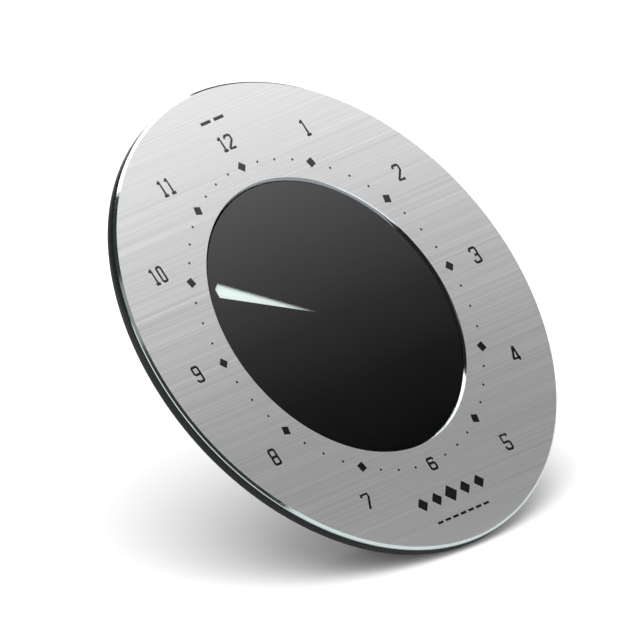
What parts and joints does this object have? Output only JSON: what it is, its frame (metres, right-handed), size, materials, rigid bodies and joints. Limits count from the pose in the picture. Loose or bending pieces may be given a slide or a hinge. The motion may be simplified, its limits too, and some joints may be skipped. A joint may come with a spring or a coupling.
{
  "type": "electronic parking disc",
  "caption": "Round in-car parking timer: brushed steel hour ring around a dark display with a lit hand; driver's display, push buttons and coin-cell door behind.",
  "frame": {"origin": "centre of the dial ring's front face, the face that is bonded to the windscreen", "axes": "+X to 3 o'clock, +Z to 12 o'clock, +Y back into the disc and away from the windscreen, so the dial faces -Y"},
  "size_m": [0.09, 0.0126, 0.09],
  "materials": {
    "dial_steel": "fine straight brushing, polished edges",
    "rim_black": "satin moulded",
    "case_black": "fine moulded grain",
    "clear_lens": "clear, gloss",
    "lcd_glass": "clear",
    "polariser_film": "clear grey film",
    "black_film": "dull",
    "dark_layer": "dark liquid-crystal film",
    "pale_reflector": "pearly pale green-grey",
    "holder_white": "moulded",
    "connector_rubber": "layered silicone strip",
    "board_green": "solder mask",
    "chip_black": "moulded epoxy",
    "chip_tan": "fired ceramic",
    "bright_can": "drawn metal can",
    "gilt_contact": "plated",
    "spring_steel": "plated spring strip",
    "screw_steel": "plated",
    "cell_steel": "nickel-plated can",
    "plunger_grey": "moulded",
    "button_grey": "soft satin",
    "seal_rubber": "dull"
  },
  "bodies": {
    "disc": {"dial_ring": "dial_steel", "ring_tape": "black_film", "front_frame": "rim_black", "window_lens": "clear_lens", "front_polariser": "polariser_film", "lcd_front_glass": "lcd_glass", "lcd_seal": "black_film", "lcd_rear_glass": "lcd_glass", "reflector": "pale_reflector", "lcd_holder": "holder_white", "connector_upper": "connector_rubber", "connector_lower": "connector_rubber", "main_board": "board_green", "microcontroller": "chip_black", "clock_crystal": "bright_can", "motion_sensor": "gilt_contact", "capacitors": "chip_tan", "board_screws": "screw_steel", "switch_bodies": "chip_black", "rear_window": "clear_lens", "rear_window_tape": "black_film", "rear_lcd_front_glass": "lcd_glass", "rear_lcd_rear_glass": "lcd_glass", "rear_reflector": "pale_reflector", "rear_lcd_holder": "holder_white", "rear_connector": "connector_rubber", "cell_can": "cell_steel", "cell_gasket": "black_film", "cell_cap": "cell_steel", "contact_negative": "spring_steel", "contact_positive": "spring_steel", "rear_housing": "case_black", "housing_seal": "seal_rubber", "housing_screws": "screw_steel"},
    "hand": {"hand_layer": "dark_layer"},
    "left_button": {"button_left": "button_grey", "plunger_left": "plunger_grey"},
    "centre_button": {"button_centre": "button_grey", "plunger_centre": "plunger_grey"},
    "right_button": {"button_right": "button_grey", "plunger_right": "plunger_grey"},
    "door": {"battery_door": "case_black", "door_seal": "seal_rubber"}
  },
  "joints": [
    {"name": "hand_turn", "type": "hinge", "parent": "disc", "child": "hand", "pos_m": [0, 0.00115, 0], "axis": [0, 1, 0], "continuous": true},
    {"name": "left_press", "type": "slide", "parent": "disc", "child": "left_button", "axis": [0, -1, 0], "range_m": [0, 0.0005], "stiffness_N_per_m": 1000, "springref_m": -0.0005},
    {"name": "centre_press", "type": "slide", "parent": "disc", "child": "centre_button", "axis": [0, -1, 0], "range_m": [0, 0.0005], "stiffness_N_per_m": 1000, "springref_m": -0.0005},
    {"name": "right_press", "type": "slide", "parent": "disc", "child": "right_button", "axis": [0, -1, 0], "range_m": [0, 0.0005], "stiffness_N_per_m": 1000, "springref_m": -0.0005},
    {"name": "door_turn", "type": "hinge", "parent": "disc", "child": "door", "pos_m": [0, 0.0117, -0.015], "axis": [0, 1, 0], "range_deg": [0, 60]}
  ]
}
